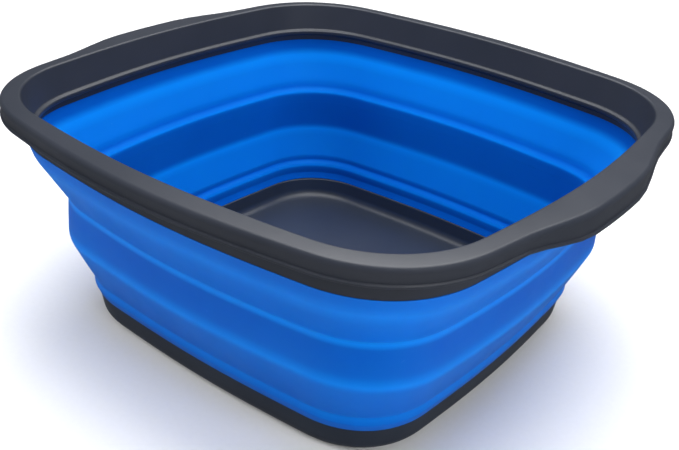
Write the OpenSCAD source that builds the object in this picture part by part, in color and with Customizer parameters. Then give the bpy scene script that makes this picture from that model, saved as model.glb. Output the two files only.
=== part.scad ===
// Collapsible wash tub: a stiff rim and a stiff base tray joined by a soft bellows wall.
// The wall goes down in three upright tiers. Two slanted bands between the tiers turn
// inside out, so the rim drops round the middle tier and the middle tier drops round the base.
// X runs along the side that has no lugs, Z is up, and the origin is on the floor at the centre.

/* [Mouth] */
// Half length of the mouth along X, at the middle of the side
mouth_half_x = 168; // [150:1:185]
// Half width of the mouth along Y, at the middle of the side
mouth_half_y = 165; // [150:1:185]
// Corner radius of the mouth
mouth_corner = 80; // [60:1:95]
// How far the middle of each side bows out at the mouth
mouth_bow = 9; // [2:0.5:12]
// Roundness of the corners: 2 is a true arc, more is squarer
corner_power = 2.2; // [2:0.05:2.6]

/* [Base] */
// Corner radius at the floor, measured on the same outline family
base_corner = 52; // [40:1:70]
// How far the middle of each side bows out at the floor
base_bow = 2.5; // [0:0.5:6]
// Height of the base tray
tray_height = 20; // [16:0.5:26]
// Height of the tray's inside floor above the ground
floor_height = 6.5; // [5:0.5:9]

/* [Heights] */
// Overall height, unfolded
height = 155; // [150:1:165]
// Height of the lower edge of the rim's collar
collar_height = 127.5; // [126:0.5:130]
// Height of the upper fold's outer knuckle, at the rim
knuckle_a_height = 118; // [116:0.5:120]
// Height of the crease where the upper fold meets the middle tier
crease_a_height = 89; // [87:0.5:91]
// Height of the lower fold's outer knuckle, under the middle tier
knuckle_b_height = 62; // [60:0.5:64]
// Height of the crease where the lower fold meets the lower tier
crease_b_height = 30; // [28:0.5:32]

/* [Tiers] */
// How far the middle tier stands in from the mouth
middle_tier_inset = 20; // [18:0.5:22]
// How far the lower tier stands in from the mouth
lower_tier_inset = 34; // [32:0.5:36]
// How far the lower tier leans in on its way down to the tray
tray_lean = 2.5; // [1:0.5:4]
// Thickness of the upright tiers
tier_wall = 2.4; // [2:0.1:3]
// Level thickness of the slanted bands
band_wall = 2.7; // [2.2:0.1:3]
// Thickness of the hinge webs
web_wall = 1.2; // [0.8:0.1:1.8]
// Height of each hinge web
web_height = 2.4; // [1.6:0.2:3.2]

/* [Rim] */
// Width of the rim's top flange beyond the mouth
flange_width = 14; // [12:0.5:17]
// Depth of the skirt that hangs from the flange
skirt_depth = 12; // [9:0.5:14]
// Thickness of the flange and the skirt
rim_wall = 2.4; // [2:0.1:3]
// How far the collar stands in from the mouth
collar_inset = 2; // [1.5:0.5:3]
// How far the stacking ledge stands in from the mouth
ledge_inset = 7.2; // [6:0.2:8]
// Depth of the stacking ledge below the top
ledge_depth = 20; // [18:0.5:21]

/* [Lugs] */
// Extra flange width at the middle of each lug
lug_reach = 6.5; // [3:0.5:9]
// Extra skirt depth at the middle of each lug
lug_drop = 5; // [3:0.5:7]
// Half length of each lug's full-width stretch, along Y
lug_flat = 35; // [25:1:45]
// Half length of each whole lug along Y, run-outs included
lug_half = 92; // [80:1:100]

/* [Detail] */
// Steps round each corner
corner_steps = 14; // [10:1:16]
// Steps along each side
side_steps = 6; // [4:1:8]

/* [Hidden] */

rim_colour = [0.19, 0.20, 0.23];
tray_colour = [0.15, 0.17, 0.21];
wall_colour = [0.05, 0.36, 0.80];
fold_colour = [0.04, 0.42, 0.88];
web_colour = [0.15, 0.52, 0.90];

quarter_steps = corner_steps + side_steps;
stations = 4 * quarter_steps;
half_web = web_height / 2;

// ---- The outline: one rounded rectangle with bowed sides, moved in or out ----

function mix(a, b, share) = a + (b - a) * share;
function smooth(x) = x * x * (3 - 2 * x);
function clamp01(x) = min(1, max(0, x));

// Corner point of the outline in its first quarter: angle 0 is on +X
function corner_point(cx, cy, r, angle) = [
    cx + r * pow(max(0, cos(angle)), 2 / corner_power),
    cy + r * pow(max(0, sin(angle)), 2 / corner_power)];

// Unbowed point at station i of a rounded rectangle with half sides a and b
function plain_point(i, a, b, r) =
    let (q = floor(i / quarter_steps), k = i % quarter_steps)
    let (cx = a - r, cy = b - r, on_arc = k <= corner_steps)
    let (turn = 90 * k / corner_steps, s = 1 - 2 * (k - corner_steps) / side_steps)
    let (c = corner_point(cx, cy, r, q % 2 == 0 ? turn : 90 - turn))
    on_arc
        ? [q == 1 || q == 2 ? -c.x : c.x, q < 2 ? c.y : -c.y]
        : q == 0 ? [cx * s, b]
        : q == 1 ? [-a, cy * s]
        : q == 2 ? [-cx * s, -b]
        : [a, -cy * s];

// Point at station i of the outline that stands t outside the mouth, at height z
function outline_point(i, t, z) =
    let (up = clamp01(z / height), bow = mix(base_bow, mouth_bow, up))
    let (a = mouth_half_x + t - bow, b = mouth_half_y + t - bow)
    let (p = plain_point(i, a, b, mix(base_corner, mouth_corner, up)))
    [p.x * (1 + bow / a * (1 - pow(p.y / b, 2))),
     p.y * (1 + bow / b * (1 - pow(p.x / a, 2)))];

// Strength of the lug at station i: 1 at the middle of a short side, 0 past its ends
function lug_strength(i) =
    let (p = outline_point(i, 0, height))
    abs(p.x) < mouth_half_x / 2
        ? 0
        : smooth(clamp01((lug_half - abs(p.y)) / (lug_half - lug_flat)));

// A profile point is [t, z, share of the lug's reach, share of the lug's drop]
function space_point(i, p) =
    let (lug = len(p) > 2 ? lug_strength(i) : 0)
    let (flat = outline_point(i, p[0], p[1]), side = sign(flat.x))
    let (reach = len(p) > 2 ? side * p[2] * lug_reach * lug : 0)
    let (drop = len(p) > 3 ? p[3] * lug_drop * lug : 0)
    [flat.x + reach, flat.y, p[1] - drop];

// ---- Solids swept round the outline ----

// Two triangles between profile points j and k, from station i to the next
function strip(i, j, k) =
    let (n = stations, i2 = (i + 1) % n)
    [[j * n + i, k * n + i, k * n + i2], [j * n + i, k * n + i2, j * n + i2]];

// A closed ring. The profile goes up the outside and down the inside.
module ring(profile) {
    count = len(profile);
    polyhedron(
        points = [for (p = profile) for (i = [0 : stations - 1]) space_point(i, p)],
        faces = [for (j = [0 : count - 1]) for (i = [0 : stations - 1])
            each strip(i, j, (j + 1) % count)]);
}

// A dish. The profile starts under the floor, goes up the outside and ends on the floor.
module dish(profile) {
    last = len(profile) - 1;
    polyhedron(
        points = [for (p = profile) for (i = [0 : stations - 1]) space_point(i, p)],
        faces = concat(
            [for (j = [0 : last - 1]) for (i = [0 : stations - 1]) each strip(i, j, j + 1)],
            [[for (i = [0 : stations - 1]) i]],
            [[for (i = [stations - 1 : -1 : 0]) last * stations + i]]));
}

// A stretch of wall through rows of [t of the outer face, z, level thickness], top first
module wall(rows) {
    last = len(rows) - 1;
    outer = [for (j = [last : -1 : 0]) [rows[j][0], rows[j][1]]];
    inner = [for (r = rows) [r[0] - r[2], r[1]]];
    ring(concat(outer, inner));
}

// ---- Rows down the soft wall, each shared by the two pieces that meet there ----

middle_t = -middle_tier_inset;
lower_t = -lower_tier_inset;
tray_t = lower_t - tray_lean;

row_collar = [-collar_inset, collar_height, tier_wall];
row_knuckle_a_top = [-collar_inset - 0.6, knuckle_a_height + half_web, tier_wall];
row_knuckle_a = [-collar_inset - 1.8, knuckle_a_height, web_wall];
row_knuckle_a_low = [-collar_inset - 2.2, knuckle_a_height - half_web, band_wall];
row_crease_a_top = [middle_t + 1.4, crease_a_height + half_web, band_wall];
row_crease_a = [middle_t - 0.2, crease_a_height, web_wall];
row_crease_a_low = [middle_t, crease_a_height - half_web, tier_wall];
row_middle = [middle_t + 0.8, (crease_a_height + knuckle_b_height) / 2, tier_wall];
row_knuckle_b_top = [middle_t, knuckle_b_height + half_web, tier_wall];
row_knuckle_b = [middle_t - 0.8, knuckle_b_height, web_wall];
row_knuckle_b_low = [middle_t - 1, knuckle_b_height - half_web, band_wall];
row_crease_b_top = [lower_t + 1.2, crease_b_height + half_web, band_wall];
row_crease_b = [lower_t - 0.2, crease_b_height, web_wall];
row_crease_b_low = [lower_t, crease_b_height - half_web, tier_wall];
row_lower = [lower_t, (crease_b_height + tray_height) / 2, tier_wall];
row_tray = [tray_t, tray_height, tier_wall];

// ---- The pieces ----

// Rim moulding: flange, skirt, two lugs, collar and the stacking ledge inside
module rim_frame() {
    w = flange_width;
    top = height;
    collar_in = -collar_inset - tier_wall;
    color(rim_colour)
        ring([
            [w - 2.6, top - skirt_depth, 1, 1],
            [w - 0.8, top - skirt_depth * 0.55, 1, 0.5],
            [w, top - 3.2, 1, 0.1],
            [w - 0.5, top - 1.3, 1, 0],
            [w - 2.2, top - 0.2, 0.95, 0],
            [w * 0.4, top, 0.4, 0],
            [1.6, top - 0.2],
            [0.3, top - 1.2],
            [-0.1, top - 3],
            [-2.4, top - ledge_depth + 4],
            [-4, top - ledge_depth + 1.6],
            [-ledge_inset + 0.5, top - ledge_depth + 0.6],
            [-ledge_inset, top - ledge_depth - 0.6],
            [-ledge_inset + 0.7, top - ledge_depth - 1.9],
            [collar_in, top - ledge_depth - 3.4],
            [collar_in, collar_height],
            [-collar_inset, collar_height],
            [-collar_inset + 0.6, top - ledge_depth * 0.6],
            [-collar_inset + 2.4, top - rim_wall - 1.2],
            [w * 0.5, top - rim_wall, 0.4, 0],
            [w - rim_wall - 1.2, top - rim_wall - 0.6, 0.95, 0],
            [w - rim_wall - 0.6, top - skirt_depth * 0.5, 1, 0.5],
            [w - 2.6 - rim_wall, top - skirt_depth, 1, 1]]);
}

// Upper tier, bonded to the underside of the collar
module upper_wall() {
    color(wall_colour) wall([row_collar, row_knuckle_a_top]);
}

// Thin web where the upper fold hangs from the rim's tier
module rim_hinge_web() {
    color(web_colour) wall([row_knuckle_a_top, row_knuckle_a, row_knuckle_a_low]);
}

// Upper slanted band, which turns inside out
module upper_fold() {
    color(fold_colour) wall([row_knuckle_a_low, row_crease_a_top]);
}

// Thin web in the crease above the middle tier
module upper_crease_web() {
    color(web_colour) wall([row_crease_a_top, row_crease_a, row_crease_a_low]);
}

// Middle tier
module middle_wall() {
    color(wall_colour) wall([row_crease_a_low, row_middle, row_knuckle_b_top]);
}

// Thin web under the middle tier
module middle_hinge_web() {
    color(web_colour) wall([row_knuckle_b_top, row_knuckle_b, row_knuckle_b_low]);
}

// Lower slanted band, which turns inside out
module lower_fold() {
    color(fold_colour) wall([row_knuckle_b_low, row_crease_b_top]);
}

// Thin web in the crease above the lower tier
module lower_crease_web() {
    color(web_colour) wall([row_crease_b_top, row_crease_b, row_crease_b_low]);
}

// Lower tier, bonded to the top edge of the base tray
module lower_wall() {
    color(wall_colour) wall([row_crease_b_low, row_lower, row_tray]);
}

// Base tray: a stiff dish on a foot ring, with rounded lower edges
module base_tray() {
    inner = tray_t - tier_wall;
    recess = floor_height - 2.5;
    color(tray_colour)
        dish([
            [tray_t - 17, recess],
            [tray_t - 14, 0],
            [tray_t - 10, 0],
            [tray_t - 6.5, 1],
            [tray_t - 3.8, 3.4],
            [tray_t - 1.8, 8],
            [tray_t - 0.6, tray_height * 0.7],
            [tray_t, tray_height],
            [inner, tray_height],
            [inner - 1.4, tray_height * 0.65],
            [inner - 3.2, floor_height + 2.6],
            [inner - 5.6, floor_height + 0.7],
            [inner - 9, floor_height]]);
}

rim_frame();
upper_wall();
rim_hinge_web();
upper_fold();
upper_crease_web();
middle_wall();
middle_hinge_web();
lower_fold();
lower_crease_web();
lower_wall();
base_tray();
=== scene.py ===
# %% [markdown]
# # A collapsible wash tub
#
# The tub is three mouldings in one: a stiff rim with a finger lug at each end, a soft blue
# wall with two folds, and a stiff tray for a base. The soft wall turns inside out at each
# fold, so the rim drops round the middle tier and the middle tier drops round the base.
#
# Everything here is built round a fixed frame of solids. The frame gives every height and
# width, so the first cell loads it.

# %% Load the frame
import math

import bmesh
import bpy
from mathutils import Matrix, Vector


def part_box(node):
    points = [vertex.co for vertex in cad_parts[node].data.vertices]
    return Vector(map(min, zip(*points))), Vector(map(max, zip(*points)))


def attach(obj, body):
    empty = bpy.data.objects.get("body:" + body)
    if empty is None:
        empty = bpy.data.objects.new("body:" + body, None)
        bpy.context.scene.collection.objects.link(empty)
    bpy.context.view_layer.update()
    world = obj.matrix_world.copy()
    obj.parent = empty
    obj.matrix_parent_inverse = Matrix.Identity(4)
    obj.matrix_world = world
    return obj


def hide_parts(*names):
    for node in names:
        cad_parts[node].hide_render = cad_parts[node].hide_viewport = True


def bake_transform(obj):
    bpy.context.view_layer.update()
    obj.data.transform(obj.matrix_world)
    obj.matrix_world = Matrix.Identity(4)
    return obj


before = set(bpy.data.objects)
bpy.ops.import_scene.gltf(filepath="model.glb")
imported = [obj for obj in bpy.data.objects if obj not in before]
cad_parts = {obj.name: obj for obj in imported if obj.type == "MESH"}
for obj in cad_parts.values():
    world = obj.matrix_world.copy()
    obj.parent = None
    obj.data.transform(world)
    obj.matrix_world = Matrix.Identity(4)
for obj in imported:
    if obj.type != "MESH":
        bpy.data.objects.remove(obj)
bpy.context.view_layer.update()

# %% [markdown]
# ## Measures
#
# Each node of the frame is a ring, so its box says how high it lies and how wide the tub
# is there. They could be typed in as numbers, but reading them keeps the looks on the frame.
# Heights are called knuckle and crease: a knuckle is where a fold stands out, a crease is
# where it turns in. Widths are kept as t, the distance outside the mouth's own outline.

# %% Read the heights and widths
MM = 0.001


def half_length(node):
    """Half the length along X of a node's box."""
    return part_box(node)[1][0]


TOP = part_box("rim_frame")[1][2]
COLLAR_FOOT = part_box("rim_frame")[0][2]
KNUCKLE_A = sum(p[2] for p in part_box("rim_hinge_web")) / 2
CREASE_A = sum(p[2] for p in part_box("upper_crease_web")) / 2
KNUCKLE_B = sum(p[2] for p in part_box("middle_hinge_web")) / 2
CREASE_B = sum(p[2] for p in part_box("lower_crease_web")) / 2
TRAY_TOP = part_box("base_tray")[1][2]

COLLAR_INSET = 2 * MM
UPPER_WEB_LEAN = 1.4 * MM
LOWER_WEB_LEAN = 1.2 * MM
MOUTH_X = half_length("upper_wall") + COLLAR_INSET
MOUTH_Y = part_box("upper_wall")[1][1] + COLLAR_INSET
MIDDLE_T = half_length("upper_crease_web") - MOUTH_X - UPPER_WEB_LEAN
LOWER_T = half_length("lower_crease_web") - MOUTH_X - LOWER_WEB_LEAN
TRAY_T = half_length("base_tray") - MOUTH_X
FLANGE_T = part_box("rim_frame")[1][1] - MOUTH_Y
print("half the mouth, in m:", round(MOUTH_X, 4), round(MOUTH_Y, 4), "top:", round(TOP, 4))
print("t of the tiers, tray and flange:", [
    round(t, 4) for t in (MIDDLE_T, LOWER_T, TRAY_T, FLANGE_T)])
print("creases and knuckles:", [
    round(z, 4) for z in (CREASE_B, KNUCKLE_B, CREASE_A, KNUCKLE_A)])

# %% [markdown]
# ## Edit mode by script
#
# By hand you would click an edge loop before each tool. A script can select by index or by
# place. Place is used here, because it still holds when a number changes. These helpers clear
# the selection, pick vertices by a test on their place, and say where the picked ones lie.

# %% Selection helpers
def clear_selection():
    """Leave edit mode and deselect every object."""
    if bpy.context.mode != "OBJECT":
        bpy.ops.object.mode_set(mode="OBJECT")
    bpy.ops.object.select_all(action="DESELECT")


def pick(test):
    """In edit mode, select just the vertices whose place passes the test."""
    bpy.ops.mesh.select_mode(type="VERT")
    bpy.ops.mesh.select_all(action="DESELECT")
    mesh = bmesh.from_edit_mesh(bpy.context.object.data)
    for vert in mesh.verts:
        if not vert.hide and test(vert.co):
            vert.select = True
    mesh.select_flush(True)
    bmesh.update_edit_mesh(bpy.context.object.data)


def chosen():
    """Places of the selected vertices in edit mode."""
    mesh = bmesh.from_edit_mesh(bpy.context.object.data)
    return [vert.co.copy() for vert in mesh.verts if vert.select]


clear_selection()
print("objects selected:", len(bpy.context.selected_objects))

# %% [markdown]
# ## The outline
#
# Seen from above the tub is a rectangle with round corners and slightly bowed sides. It
# could be drawn as a curve, but a plane does it in three familiar steps: bevel the four
# corner vertices, subdivide the sides, and use To Sphere, which pushes the flat sides out
# and pulls the corners in. The base is the squarest, so every outline starts from there.

# %% Start an outline
CORNER_RADIUS = 50 * MM
CORNER_SEGMENTS = 26
SIDE_CUTS = 15
CORNER_PROFILE = 0.53
BASE_ROUNDING = 0.145
MOUTH_ROUNDING = 0.143


def rounding_at(z):
    """How far the outline has turned towards a circle at height z."""
    share = min(1, max(0, (z - TRAY_TOP) / (CREASE_A - TRAY_TOP)))
    return MOUTH_ROUNDING * share


def fit_loop(t, z):
    """Scale the selected loop so that it stands t outside the mouth, and lift it to z."""
    places = chosen()
    wide = max(p.x for p in places)
    deep = max(p.y for p in places)
    scale = ((MOUTH_X + t) / wide, (MOUTH_Y + t) / deep, 1)
    bpy.ops.transform.resize(value=scale, center_override=(0, 0, places[0].z))
    bpy.ops.transform.translate(value=(0, 0, z - places[0].z))


def start_outline(name, t, z, rounding):
    """A closed loop of edges: the tub's outline t outside the mouth, at height z."""
    clear_selection()
    bpy.ops.mesh.primitive_plane_add(size=2, location=(0, 0, 0))
    piece = bpy.context.object
    piece.name = name
    piece.data.name = name
    bpy.ops.object.mode_set(mode="EDIT")
    bpy.ops.mesh.select_all(action="SELECT")
    base_x = MOUTH_X + TRAY_T
    base_y = MOUTH_Y + TRAY_T
    bpy.ops.transform.resize(value=(base_x, base_y, 1))
    bpy.ops.mesh.bevel(
        affect="VERTICES", offset=CORNER_RADIUS, segments=CORNER_SEGMENTS,
        profile=CORNER_PROFILE)
    bpy.ops.mesh.delete(type="ONLY_FACE")
    straight = min(base_x, base_y) - CORNER_RADIUS
    mesh = bmesh.from_edit_mesh(piece.data)
    for edge in mesh.edges:
        edge.select_set(edge.calc_length() > straight)
    bmesh.update_edit_mesh(piece.data)
    bpy.ops.mesh.subdivide(number_cuts=SIDE_CUTS)
    bpy.ops.mesh.select_all(action="SELECT")
    bpy.ops.transform.tosphere(value=BASE_ROUNDING, center_override=(0, 0, 0))
    fit_loop(t, z)
    if rounding > 0:
        bpy.ops.transform.tosphere(value=rounding, center_override=(0, 0, z))
        fit_loop(t, z)
    return piece


print("vertices in an outline:", 4 * (CORNER_SEGMENTS + 1 + SIDE_CUTS))

# %% [markdown]
# ## From a drawn section to rows
#
# A moulded wall is drawn as a section: a few corners, each with its radius. The helper
# turns every corner into an arc of close rows, as a fillet tool does, and the next one
# extrudes the outline through the rows. A Screw or a curve bevel would need the outline to
# stay the same all the way up, and here it changes, so extruding row by row is the way.

# %% Round a section and extrude it
ARC_STEP = math.radians(9)
NO_TURN = math.radians(1)
JOIN_DISTANCE = 0.02 * MM


def rounded(section):
    """Rows (t, z) along a section given as (t, z, corner radius), with round corners."""
    rows = [section[0][:2]]
    for before, here, after in zip(section, section[1:], section[2:]):
        corner = Vector(here[:2])
        to_before = (Vector(before[:2]) - corner).normalized()
        to_after = (Vector(after[:2]) - corner).normalized()
        opening = to_before.angle(to_after)
        turn = math.pi - opening
        radius = here[2]
        if radius <= 0 or turn < NO_TURN:
            rows.append(here[:2])
            continue
        reach = radius * math.tan(turn / 2)
        middle = corner + (to_before + to_after).normalized() * radius / math.cos(turn / 2)
        start = corner + to_before * reach - middle
        steps = max(2, math.ceil(turn / ARC_STEP))
        side = math.copysign(1, to_before.x * to_after.y - to_before.y * to_after.x)
        for k in range(steps + 1):
            angle = -side * turn * k / steps
            spoke = Matrix.Rotation(angle, 2) @ start
            rows.append(tuple(middle + spoke))
    rows.append(section[-1][:2])
    return rows


def extrude_through(rows, rounding=None):
    """Extrude the selected loop through rows. With rounding, the outline turns rounder too."""
    for (t, z), (_, z_before) in zip(rows[1:], rows):
        bpy.ops.mesh.extrude_region_move()
        fit_loop(t, z)
        if rounding and rounding(z) > rounding(z_before):
            more = rounding(z) - rounding(z_before)
            bpy.ops.transform.tosphere(value=more, center_override=(0, 0, z))
            fit_loop(t, z)


def finish_piece(piece, smooth_angle=40):
    """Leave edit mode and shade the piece."""
    bpy.ops.object.mode_set(mode="EDIT")
    bpy.ops.mesh.select_all(action="SELECT")
    bpy.ops.mesh.remove_doubles(threshold=JOIN_DISTANCE)
    bpy.ops.mesh.normals_make_consistent(inside=False)
    bpy.ops.object.mode_set(mode="OBJECT")
    bpy.ops.object.shade_smooth_by_angle(angle=math.radians(smooth_angle))
    size = [round(v / MM, 1) for v in piece.dimensions]
    print(piece.name, len(piece.data.polygons), "faces, size in mm", size)


print("rows in a rounded right angle:", len(rounded([(0, 0, 0), (1, 0, 0.5), (1, 1, 0)])))

# %% [markdown]
# ## The soft wall
#
# The wall is thin soft rubber, moulded in one go. Below each tight crease it stands
# upright, swells round a large knuckle and slants in to the next crease. One skin is
# extruded all the way up and then cut into pieces, so that they match where they meet.
# Each corner below is t, height and radius. The rows lie closer near the creases, because
# that is where the rubber has its detail, and nowhere far apart, because the slanted bands
# have to curl when the tub folds.

# %% Draw the wall's outer section
WALL = 2.4 * MM
CREASE_RADIUS = 1.3 * MM
SEAM_HIGH = CREASE_A - 7 * MM
SEAM_LOW = KNUCKLE_B + 12 * MM
FINE_STEP = 0.7 * MM
FINE_REACH = 9 * MM
FINE_LIFT = 2 * MM
PLAIN_STEP = 2.4 * MM

wall_section = [
    (TRAY_T + 0.3 * MM, TRAY_TOP - 0.6 * MM, 0),
    (LOWER_T - 0.1 * MM, TRAY_TOP + 4.5 * MM, 4 * MM),
    (LOWER_T, CREASE_B, CREASE_RADIUS),
    (LOWER_T + 6.5 * MM, KNUCKLE_B - 18 * MM, 14 * MM),
    (MIDDLE_T - 0.3 * MM, KNUCKLE_B - 2 * MM, 14 * MM),
    (MIDDLE_T - 0.1 * MM, SEAM_LOW, 0),
    (MIDDLE_T - 0.1 * MM, SEAM_HIGH, 0),
    (MIDDLE_T, CREASE_A, CREASE_RADIUS),
    (-COLLAR_INSET - 2 * MM, KNUCKLE_A + 1 * MM, 16 * MM),
    (-COLLAR_INSET + 0.3 * MM, COLLAR_FOOT + 0.4 * MM, 0),
]


def near_crease(z, reach, lift):
    """1 at lift above a crease, falling to 0 at reach above or below that."""
    away = min(abs(z - CREASE_A - lift), abs(z - CREASE_B - lift))
    return max(0, 1 - away / reach)


def refined(rows):
    """The same rows with more between them, closest together near the creases."""
    dense = [rows[0]]
    for (t, z), (t_next, z_next) in zip(rows, rows[1:]):
        near = near_crease((z + z_next) / 2, FINE_REACH, FINE_LIFT)
        step = FINE_STEP if near > 0 else PLAIN_STEP
        parts = max(1, round(math.hypot(t_next - t, z_next - z) / step))
        for k in range(1, parts + 1):
            share = k / parts
            dense.append((t + (t_next - t) * share, z + (z_next - z) * share))
    return dense


wall_rows = refined(rounded(wall_section))
print(len(wall_rows), "rows in the wall's skin")

# %% [markdown]
# The skin starts as the outline at the tray and is extruded upwards. On the way the outline
# turns rounder, as the tub's plan does from its squarer base to its rounder mouth.

# %% Extrude the skin
skin = start_outline("wall_skin", *wall_rows[0], rounding_at(wall_rows[0][1]))
extrude_through(wall_rows, rounding_at)
bpy.ops.mesh.select_all(action="SELECT")
bpy.ops.mesh.normals_make_consistent(inside=False)
bpy.ops.object.mode_set(mode="OBJECT")
print(len(skin.data.vertices), "vertices in the skin")

# %% [markdown]
# ## Cutting the skin and giving it thickness
#
# The upper and lower folds each join two moving parts, so each is a piece of its own, with
# the plain band of the middle tier between them. The cuts lie in that upright band, where
# the shading is even and hides them. Solidify gives each piece its wall. Its vertex group
# thins the rubber just above each crease, which leaves a fine groove inside.
#
# The upright tiers are thick rubber and are painted darker, as painted shade. The slanted bands,
# the knuckles and the hinge lines are painted lighter, as painted highlight and as painted light
# coming through the thin rubber. That is laid as a point attribute of painted light, from a few
# heights and shares for the outside and others for the inside. A second attribute lays painted
# shade in the groove above each crease inside. It could be brushed on by hand, but heights keep
# the marks level all round.

# %% Say how thick the wall is, and where painted light and shade go on it
WEB_SHARE = 0.45
WEB_REACH = 3.2 * MM
WEB_LIFT = 4.4 * MM
# Where painted shade lies in the groove inside, above each crease.
GROOVE_SHADE_REACH = 3.0 * MM
GROOVE_SHADE_LIFT = 5.0 * MM
# Where the painted highlight on the bead inside each crease lies, and how strong it is.
BEAD_HIGHLIGHT_REACH = 3.2 * MM
BEAD_HIGHLIGHT_LIFT = 1.2 * MM
BEAD_HIGHLIGHT = 0.75
# Shares of painted light by height: high for painted highlight, low for painted shade.
OUTER_LIGHT_STOPS = (
    (TRAY_TOP, 0.2),
    (CREASE_B - 5 * MM, 0.35),
    (CREASE_B - 1.5 * MM, 0.6),
    (CREASE_B + 2 * MM, 0.3),
    (KNUCKLE_B - 6 * MM, 0.4),
    (KNUCKLE_B - 1 * MM, 0.85),
    (KNUCKLE_B + 6 * MM, 0.2),
    (CREASE_A - 5 * MM, 0.12),
    (CREASE_A - 1.8 * MM, 0.9),
    (CREASE_A + 1.5 * MM, 0.35),
    (KNUCKLE_A - 12 * MM, 0.4),
    (KNUCKLE_A - 3 * MM, 0.7),
    (KNUCKLE_A + 6 * MM, 0.3),
)
INNER_LIGHT_STOPS = (
    (CREASE_B - 3 * MM, 0.2),
    (CREASE_B, 0.5),
    (KNUCKLE_B - 7 * MM, 0.55),
    (KNUCKLE_B - 3.5 * MM, 0.95),
    (KNUCKLE_B, 0.26),
    (CREASE_A - 2 * MM, 0.26),
    (CREASE_A, 0.5),
    (KNUCKLE_A - 8 * MM, 0.55),
    (KNUCKLE_A - 2 * MM, 1.0),
    (KNUCKLE_A + 3 * MM, 0.2),
)


def painted_light_at(z, stops):
    """How much painted light the wall gets at height z, from 0 for painted shade to 1 for painted
    highlight.
    """
    for (low, low_share), (high, high_share) in zip(stops, stops[1:]):
        if z < high:
            share = max(0, (z - low) / (high - low))
            return low_share + (high_share - low_share) * share
    return stops[-1][1]


def painted_light_outside(z):
    """Painted light outside: painted highlight at the knuckles and the creases, painted shade on
    the upright tiers.
    """
    return painted_light_at(z, OUTER_LIGHT_STOPS)


def painted_light_inside(z):
    """Painted light inside: painted highlight on the slanted bands and on the beads at the
    creases.
    """
    return max(painted_light_at(z, INNER_LIGHT_STOPS), BEAD_HIGHLIGHT * near_crease(z, BEAD_HIGHLIGHT_REACH, BEAD_HIGHLIGHT_LIFT))


def groove_shade_inside(z):
    """Painted shade in the hollow above each bead: 1 there, falling to 0 beside it."""
    return near_crease(z, GROOVE_SHADE_REACH, GROOVE_SHADE_LIFT)


# The height where the painted highlight outside is strongest.
print("clearest height outside, in mm:", round(max(OUTER_LIGHT_STOPS, key=lambda stop: stop[1])[0] / MM))

# %% [markdown]
# Each piece is a copy of the skin with the rows above and below it deleted. Solidify adds
# the inner skin after the outer one, so an inner vertex is known by its number, and the two
# sides can be painted differently.

# %% Cut, thicken and paint
CUT_SLACK = 0.01 * MM


def cut_from_skin(name, low, high):
    """A copy of the skin's rows between two heights, thickened inwards."""
    clear_selection()
    piece = skin.copy()
    piece.data = skin.data.copy()
    piece.name = name
    piece.data.name = name
    bpy.context.collection.objects.link(piece)
    bpy.context.view_layer.objects.active = piece
    piece.select_set(True)
    bpy.ops.object.mode_set(mode="EDIT")
    pick(lambda p: p.z < low - CUT_SLACK or p.z > high + CUT_SLACK)
    if chosen():
        bpy.ops.mesh.delete(type="VERT")
    bpy.ops.object.mode_set(mode="OBJECT")
    thickness_group_and_shaded_blue = piece.vertex_groups.new(name="full_thickness")
    for vert in piece.data.vertices:
        thickness_group_and_shaded_blue.add([vert.index], 1 - near_crease(vert.co.z, WEB_REACH, WEB_LIFT), "REPLACE")
    outer_count = len(piece.data.vertices)
    solidify = piece.modifiers.new("wall", "SOLIDIFY")
    solidify.thickness = WALL
    solidify.offset = -1
    solidify.use_even_offset = True
    solidify.vertex_group = "full_thickness"
    solidify.thickness_vertex_group = WEB_SHARE
    bpy.ops.object.modifier_apply(modifier=solidify.name)
    # Lay painted light and painted shade on both skins as attributes, the outer skin first, then
    # the inner one.
    for label, outer_mark, inner_mark in (
            ("clear", painted_light_outside, painted_light_inside),
            ("groove_shade", lambda z: 0, groove_shade_inside)):
        mark = piece.data.attributes.new(label, "FLOAT", "POINT")
        mark.data.foreach_set("value", [
            outer_mark(vert.co.z) if vert.index < outer_count else inner_mark(vert.co.z)
            for vert in piece.data.vertices])
    finish_piece(piece)
    return piece


upper_bellows = cut_from_skin("upper_bellows", SEAM_HIGH, TOP)
middle_band = cut_from_skin("middle_band", SEAM_LOW, SEAM_HIGH)
lower_bellows = cut_from_skin("lower_bellows", 0, SEAM_LOW)
clear_selection()
skin.select_set(True)
bpy.ops.object.delete()

# %% [markdown]
# ## The rim
#
# The rim is one stiff moulding: a collar that the rubber is bonded to, a ledge inside for
# stacking, a flat flange and a short skirt with a fine lip. A bevelled curve could carry the
# section, but then the mouth and the skirt would share one outline. So it is extruded round
# its closed section, down the collar, up the inside, out over the flange and back under the
# skirt.

# %% Extrude the rim
RIM_ROUNDING = 0.134
LAP = 0.2 * MM


def from_top(points):
    """A section given in mm outside the mouth and mm below the top."""
    return [(t * MM, TOP - depth * MM, radius * MM) for t, depth, radius in points]


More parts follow.
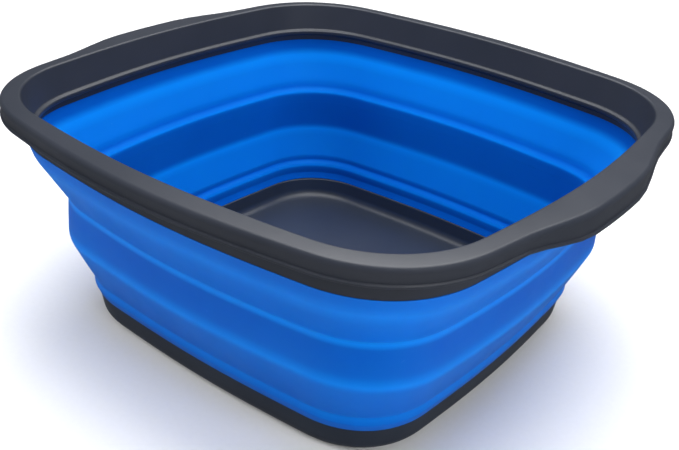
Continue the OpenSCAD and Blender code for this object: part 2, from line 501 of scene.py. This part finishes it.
flange = FLANGE_T / MM - 0.5
foot = (TOP - COLLAR_FOOT) / MM
inner = -(COLLAR_INSET + WALL + LAP) / MM
rim_section = from_top([
    (-1.6, 20, 0),
    (-2.0, foot, 0.5),
    (inner, foot, 0.5),
    (inner, 23.6, 1.2),
    (-7.3, 22.2, 1.1),
    (-7.3, 19.7, 1.1),
    (-5.0, 18.6, 1.6),
    (-0.6, 0, 1.6),
    (flange, 1.3, 3.2),
    (flange - 1.6, 10, 0.25),
    (flange - 0.2, 10.7, 0.25),
    (flange - 0.5, 12, 0.4),
    (flange - 3.9, 12, 0.5),
    (flange - 3.0, 2.8, 1.5),
    (0.6, 2.6, 2.5),
    (-1.6, 20, 0)])
rim_rows = rounded(rim_section)
rim = start_outline("rim", *rim_rows[0], RIM_ROUNDING)
loop_size = len(chosen())
extrude_through(rim_rows)
print(len(rim_rows), "rows of", loop_size, "vertices")

# %% [markdown]
# Scaling one outline makes the flange a little too wide at the corners. Each row of the
# flange is rounded slightly more, the outer rows the most, until it runs evenly round.

# %% Even out the flange round the corners
CORNER_EASE = 0.11


def row_of(vert):
    """The row (t, z) that a vertex of the rim was extruded on."""
    return rim_rows[min(vert.index // loop_size, len(rim_rows) - 1)]


for number, (t, z) in enumerate(rim_rows):
    if t <= 0:
        continue
    bpy.ops.mesh.select_all(action="DESELECT")
    mesh = bmesh.from_edit_mesh(rim.data)
    mesh.verts.ensure_lookup_table()
    for vert in mesh.verts[number * loop_size:(number + 1) * loop_size]:
        vert.select_set(True)
    bpy.ops.transform.tosphere(value=CORNER_EASE * t / FLANGE_T, center_override=(0, 0, z))
    fit_loop(t, z)
print("rows eased:", sum(t > 0 for t, z in rim_rows))

# %% [markdown]
# ## The finger lugs
#
# At each end the flange grows wider over a hand's breadth and its skirt hangs lower, so
# that fingers can hook under it. Proportional editing is made for this: the middle of the
# skirt is moved and its neighbours follow less and less. The collar is hidden first,
# because hidden vertices stay where they are.

# %% Pull out the lugs
LUG_REACH = 6.5 * MM
LUG_DROP = 5 * MM
LUG_FLAT = 35 * MM
LUG_RUN_OUT = 58 * MM
FLANGE_START = 4 * MM
SKIRT_START = 8 * MM


def hide_all_but(test):
    """In edit mode, hide every vertex of the rim whose row and place fail the test."""
    bpy.ops.mesh.reveal(select=False)
    bpy.ops.mesh.select_mode(type="VERT")
    bpy.ops.mesh.select_all(action="DESELECT")
    mesh = bmesh.from_edit_mesh(rim.data)
    mesh.verts.ensure_lookup_table()
    for vert in mesh.verts:
        if test(*row_of(vert), vert.co):
            vert.select = True
    mesh.select_flush(True)
    bmesh.update_edit_mesh(rim.data)
    bpy.ops.mesh.hide(unselected=True)


def pull(move):
    """Move the selected vertices, and their neighbours less and less."""
    bpy.ops.transform.translate(
        value=move, use_proportional_edit=True, proportional_edit_falloff="SMOOTH",
        proportional_size=LUG_RUN_OUT)


for side in (1, -1):
    hide_all_but(lambda t, z, p: t > FLANGE_START and p.x * side > 0)
    pick(lambda p: abs(p.y) < LUG_FLAT and p.x * side > 0)
    pull((side * LUG_REACH, 0, 0))
    hide_all_but(lambda t, z, p: t > FLANGE_START and z < TOP - SKIRT_START and p.x * side > 0)
    pick(lambda p: abs(p.y) < LUG_FLAT and p.x * side > 0)
    pull((0, 0, -LUG_DROP))
bpy.ops.mesh.reveal(select=False)
finish_piece(rim, 50)

# %% [markdown]
# ## The base tray
#
# The tray is a shallow stiff dish on a foot ring. It could be a bevelled box with its top
# inset, but its edge must meet the wall's outline, so it is extruded from that outline too.
# Its section starts under the floor, goes round the foot and up the outside, and comes back
# down inside to the floor.

# %% Extrude the tray
FLOOR = 6.5 * MM
RECESS = 4 * MM


def from_tray(points):
    """A section given in mm outside the tray's top edge and mm above the ground."""
    return [(TRAY_T + t * MM, z * MM, radius * MM) for t, z, radius in points]


tray_top = TRAY_TOP / MM
tray_section = from_tray([
    (-19, RECESS / MM, 0),
    (-15, RECESS / MM, 2),
    (-13.6, 0, 1),
    (-2.9, 0, 9),
    (0, tray_top, 0.5),
    (-2.5, tray_top, 0.9),
    (-5.2, FLOOR / MM, 7),
    (-17, FLOOR / MM, 0)])
tray_rows = rounded(tray_section)
tray = start_outline("tray", *tray_rows[0], 0)
extrude_through(tray_rows)
print(len(tray_rows), "rows in the tray")

# %% [markdown]
# Both ends of the tray are still open loops. Each is filled with one face and inset once, so
# that the flat meets the curve cleanly.

# %% Close its floor and its underside
FLAT_INSET = 14 * MM


def fill_selected():
    """Fill the selected loop, and inset the new face so that the flat starts evenly."""
    bpy.ops.mesh.edge_face_add()
    bpy.ops.mesh.select_mode(type="FACE")
    bpy.ops.mesh.inset(thickness=FLAT_INSET)


fill_selected()
bpy.ops.mesh.select_mode(type="EDGE")
bpy.ops.mesh.select_all(action="DESELECT")
bpy.ops.mesh.select_non_manifold(extend=False)
fill_selected()
finish_piece(tray, 50)

# %% [markdown]
# ## Finishes: the stiff plastic
#
# The rim and the tray are moulded polypropylene. Its satin look comes from a fine sparked
# texture in the mould, so the bump is tiny and even. Plastic in a mould also flows and
# cools unevenly, which shows as a faint change in colour and gloss over a few centimetres.
# Edges that hands and dishes rub turn a little lighter from wear, and the same lighter edge also
# stands in for a painted sheen where light catches them; Pointiness finds them. An image could
# hold all this, but noise in metres has the right size on every piece.

# %% Material helpers
def new_material(name):
    """A node material, with its nodes, its links and its main shader."""
    material = bpy.data.materials.new(name)
    material.use_nodes = True
    tree = material.node_tree
    return material, tree.nodes, tree.links, tree.nodes["Principled BSDF"]


def object_noise(nodes, links, scale, detail, roughness=0.5):
    """Noise laid out in metres on the piece, so that it has a real size."""
    place = nodes.new("ShaderNodeTexCoord")
    noise = nodes.new("ShaderNodeTexNoise")
    noise.inputs["Scale"].default_value = scale
    noise.inputs["Detail"].default_value = detail
    noise.inputs["Roughness"].default_value = roughness
    links.new(place.outputs["Object"], noise.inputs["Vector"])
    return noise.outputs["Fac"]


def spread(nodes, links, value, low, high, to_low, to_high):
    """Stretch the part of value between low and high over to_low to to_high."""
    span = nodes.new("ShaderNodeMapRange")
    span.inputs["From Min"].default_value = low
    span.inputs["From Max"].default_value = high
    span.inputs["To Min"].default_value = to_low
    span.inputs["To Max"].default_value = to_high
    links.new(value, span.inputs["Value"])
    return span.outputs["Result"]


def blend_colours(nodes, links, share, first, second):
    """Mix two colours, or a colour socket and a colour, by a share."""
    mix = nodes.new("ShaderNodeMix")
    mix.data_type = "RGBA"
    links.new(share, mix.inputs["Factor"])
    for value, socket in ((first, mix.inputs[6]), (second, mix.inputs[7])):
        if isinstance(value, bpy.types.NodeSocket):
            links.new(value, socket)
        else:
            socket.default_value = (*value, 1)
    return mix.outputs[2]


def add_bump(nodes, links, height, strength, distance, under=None):
    """A bump of the given height in metres, over another bump if there is one."""
    bump = nodes.new("ShaderNodeBump")
    bump.inputs["Strength"].default_value = strength
    bump.inputs["Distance"].default_value = distance
    links.new(height, bump.inputs["Height"])
    if under:
        links.new(under, bump.inputs["Normal"])
    return bump.outputs["Normal"]


print("materials so far:", len(bpy.data.materials))

# %% [markdown]
# One function makes the plastic for both mouldings, from three colours: the plain one, the
# one in its clouds and the one on its edges, which is wear and a painted sheen. The tray is the
# same plastic painted a little darker and bluer than the rim, as painted shade and a painted
# reflection of the blue wall.

# %% Satin moulded plastic
def moulded_plastic(name, colour, cloudy, worn_edge_and_sheen):
    """Dark satin plastic with flow clouds, a sparked grain and lighter edges, partly wear and
    partly a painted sheen.
    """
    material, nodes, links, shader = new_material(name)
    flow = object_noise(nodes, links, 16, 4)
    clouds = spread(nodes, links, flow, 0.35, 0.65, 0, 1)
    body = blend_colours(nodes, links, clouds, colour, cloudy)
    # Lighter edges where Pointiness is high: wear, and a painted sheen along the edges.
    geometry = nodes.new("ShaderNodeNewGeometry")
    edges = spread(nodes, links, geometry.outputs["Pointiness"], 0.53, 0.62, 0, 0.35)
    links.new(blend_colours(nodes, links, edges, body, worn_edge_and_sheen), shader.inputs["Base Color"])
    gloss = object_noise(nodes, links, 45, 3)
    links.new(spread(nodes, links, gloss, 0.3, 0.7, 0.37, 0.42), shader.inputs["Roughness"])
    grain = object_noise(nodes, links, 1500, 2)
    sparked = add_bump(nodes, links, grain, 0.22, 0.12 * MM)
    waves = object_noise(nodes, links, 60, 1)
    links.new(add_bump(nodes, links, waves, 0.10, 0.5 * MM, sparked), shader.inputs["Normal"])
    shader.inputs["IOR"].default_value = 1.49
    return material


rim_grey = moulded_plastic(
    "rim_grey", (0.021, 0.025, 0.036), (0.026, 0.030, 0.042), (0.050, 0.056, 0.070))
# The tray: the rim's plastic painted darker and bluer, as painted shade and a painted reflection
# of the blue wall.
tray_grey_painted_bounce = moulded_plastic(
    "tray_grey_painted_bounce", (0.016, 0.022, 0.036), (0.020, 0.027, 0.042), (0.040, 0.047, 0.062))
print(rim_grey.name, len(rim_grey.node_tree.nodes), "nodes,",
      tray_grey_painted_bounce.name, len(tray_grey_painted_bounce.node_tree.nodes), "nodes")

# %% [markdown]
# ## Finishes: the soft rubber
#
# The blue wall is a silky thermoplastic rubber. It lets a little light through, so it has
# subsurface scattering. Its colour is painted lighter on the slanted bands, the knuckles and
# the hinge lines, as painted highlight and as painted light coming through the thin rubber,
# and darker on the upright tiers and in the groove inside, as painted shade. Transmission could
# show the light through, but slowly and with noise, so the colour follows the mesh's own
# attributes instead. The surface has a soft roll in its gloss, a very fine skin texture and the
# odd speck of dust that rubber gathers. Its reflections are tinted blue, because much of the
# light that comes back has been through the rubber's skin.

# %% Silky rubber
def mark_on(nodes, name):
    """The value that the mesh carries as an attribute."""
    attribute = nodes.new("ShaderNodeAttribute")
    attribute.attribute_name = name
    return attribute.outputs["Fac"]


def silky_rubber(name):
    """Blue rubber, with painted highlight and painted shade laid on by height and painted shade in
    the hollows above the creases.
    """
    material, nodes, links, shader = new_material(name)
    # Painted light and shade: the first blue is the dark one painted on the upright tiers as
    # shade, the second the lighter one painted on the bands, knuckles and hinge lines as highlight
    # and light through the rubber; the flow clouds below also drift a little towards it.
    thickness_group_and_shaded_blue = (0.001, 0.062, 0.42)
    lit_and_cloud_blue = (0.002, 0.215, 0.77)
    # Mix the shaded and the lit blue by the mesh's painted light attribute.
    through = blend_colours(nodes, links, mark_on(nodes, "clear"), thickness_group_and_shaded_blue, lit_and_cloud_blue)
    flow = object_noise(nodes, links, 12, 3)
    clouds = spread(nodes, links, flow, 0.35, 0.65, 0, 0.12)
    body = blend_colours(nodes, links, clouds, through, lit_and_cloud_blue)
    # Painted shade: the colour turns a deeper blue in the groove inside.
    depth = spread(nodes, links, mark_on(nodes, "groove_shade"), 0, 1, 0, 0.6)
    deep = blend_colours(nodes, links, depth, body, (0.0, 0.055, 0.42))
    dust = object_noise(nodes, links, 420, 1)
    specks = spread(nodes, links, dust, 0.77, 0.81, 0, 0.10)
    links.new(blend_colours(nodes, links, specks, deep, (0.15, 0.35, 0.70)),
              shader.inputs["Base Color"])
    gloss = object_noise(nodes, links, 30, 4)
    links.new(spread(nodes, links, gloss, 0.3, 0.7, 0.36, 0.48), shader.inputs["Roughness"])
    skin_grain = object_noise(nodes, links, 2200, 2)
    fine = add_bump(nodes, links, skin_grain, 0.15, 0.08 * MM)
    roll = object_noise(nodes, links, 35, 1)
    links.new(add_bump(nodes, links, roll, 0.12, 0.6 * MM, fine), shader.inputs["Normal"])
    shader.inputs["Subsurface Weight"].default_value = 0.2
    shader.inputs["Subsurface Radius"].default_value = (0.1, 0.5, 1.0)
    shader.inputs["Subsurface Scale"].default_value = 3 * MM
    shader.inputs["Specular Tint"].default_value = (0.04, 0.50, 1.0, 1)
    shader.inputs["IOR"].default_value = 1.4
    return material


wall_blue = silky_rubber("wall_blue")
print(wall_blue.name, len(wall_blue.node_tree.nodes), "nodes")

# %% [markdown]
# ## Joining the pieces to the frame
#
# The rim, the tray and the middle band are stiff enough to ride on one body each, and the
# solids of the frame that each piece stands for are hidden. The two bellows pieces could be
# split at each hinge line, but then they would tear, so each is kept whole with its place baked
# in, and the solids it stands for are hidden too. The real wall curls when the tub folds.

# %% Ride and replace
for piece, finish in ((rim, rim_grey), (tray, tray_grey_painted_bounce), (upper_bellows, wall_blue),
                      (middle_band, wall_blue), (lower_bellows, wall_blue)):
    piece.data.materials.clear()
    piece.data.materials.append(finish)

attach(rim, "rim")
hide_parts("rim_frame")

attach(tray, "base")
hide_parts("base_tray")

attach(middle_band, "middle_tier")
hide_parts("middle_wall")

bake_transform(upper_bellows)
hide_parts("upper_wall", "rim_hinge_web", "upper_fold", "upper_crease_web")

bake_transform(lower_bellows)
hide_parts("middle_hinge_web", "lower_fold", "lower_crease_web", "lower_wall")

# %% [markdown]
# ## Camera
#
# The tub is seen from above one corner. An aim point, a distance and two angles say that
# more plainly than a matrix, and a slight roll tips the horizon as a hand-held camera does.

# %% Place the camera
AIM = Vector((0.0082, -0.0091, 0.0682))
DISTANCE = 0.6435
AZIMUTH = math.radians(36.84)
ELEVATION = math.radians(28.41)
ROLL = math.radians(3.79)
LENS = 51.96
SENSOR = 36

ahead = -Vector((
    math.sin(AZIMUTH) * math.cos(ELEVATION),
    -math.cos(AZIMUTH) * math.cos(ELEVATION),
    math.sin(ELEVATION)))
right = ahead.cross(Vector((0, 0, 1))).normalized()
above = right.cross(ahead)
turned_right = right * math.cos(ROLL) + above * math.sin(ROLL)
turned_above = above * math.cos(ROLL) - right * math.sin(ROLL)
bpy.ops.object.camera_add(location=AIM - ahead * DISTANCE)
camera = bpy.context.object
camera.rotation_euler = Matrix((turned_right, turned_above, -ahead)).transposed().to_euler()
camera.data.lens = LENS
camera.data.sensor_width = SENSOR
camera.data.clip_start = 0.01
bpy.context.scene.camera = camera
print("camera at", [round(v, 3) for v in camera.location])

# %% [markdown]
# ## Floor and lights
#
# A pale floor, a broad soft sky and three large soft lights. The one overhead draws the long
# gleam on top of the rim. The sky, the key, the fill and the white floor only brighten the
# sides. They could show in the gloss too, but that turns the blue pale, so they are kept out
# of it.

# %% Lay the floor
FLOOR_SIZE = 8
FLOOR_GAP = 0.3 * MM

clear_selection()
bpy.ops.mesh.primitive_plane_add(size=FLOOR_SIZE, location=(0, 0, -FLOOR_GAP))
floor = bpy.context.object
floor.name = "floor"
floor_white, nodes, links, shader = new_material("floor_white")
paper = object_noise(nodes, links, 300, 3)
links.new(blend_colours(nodes, links, paper, (0.86, 0.86, 0.86), (0.9, 0.9, 0.9)),
          shader.inputs["Base Color"])
shader.inputs["Roughness"].default_value = 0.8
floor.data.materials.append(floor_white)
floor.visible_glossy = False
print("floor", FLOOR_SIZE, "m square")


# %% Light the tub
def soft_light(name, place, size, power, gleams=True):
    """A square area light aimed at the tub, which may or may not show in the gloss."""
    bpy.ops.object.light_add(type="AREA", location=place)
    light = bpy.context.object
    light.name = name
    light.data.size = size
    light.data.energy = power
    light.rotation_euler = (AIM - Vector(place)).to_track_quat("-Z", "Y").to_euler()
    light.visible_glossy = gleams


soft_light("overhead", (-0.05, 0.3, 1.3), 1.3, 25)
soft_light("key", (-1.1, -1.0, 0.9), 0.9, 15, gleams=False)
soft_light("fill", (1.3, -0.3, 0.7), 0.9, 12, gleams=False)
bpy.ops.object.light_add(type="SUN", location=(0, 0, 2))
sky = bpy.context.object
sky.name = "sky"
sky.data.energy = 0.9
sky.data.angle = math.radians(60)
sky.visible_glossy = False
print("lights:", len(bpy.data.lights))

# %% [markdown]
# The room looks pale to the camera but lights the tub only a little, so that the shadows
# inside stay dark. Light Path tells the two apart. The Standard view keeps the blue as
# saturated as it was mixed.

# %% Give it a pale room
ROOM_LIGHT = 0.15
ROOM_SEEN = 0.9

world = bpy.data.worlds.new("studio")
world.use_nodes = True
nodes = world.node_tree.nodes
links = world.node_tree.links
background = nodes["Background"]
background.inputs["Color"].default_value = (0.93, 0.96, 1, 1)
path = nodes.new("ShaderNodeLightPath")
strength = spread(nodes, links, path.outputs["Is Camera Ray"], 0, 1, ROOM_LIGHT, ROOM_SEEN)
links.new(strength, background.inputs["Strength"])
bpy.context.scene.world = world
bpy.context.scene.view_settings.view_transform = "Standard"
print("room lights", ROOM_LIGHT, "and looks", ROOM_SEEN)
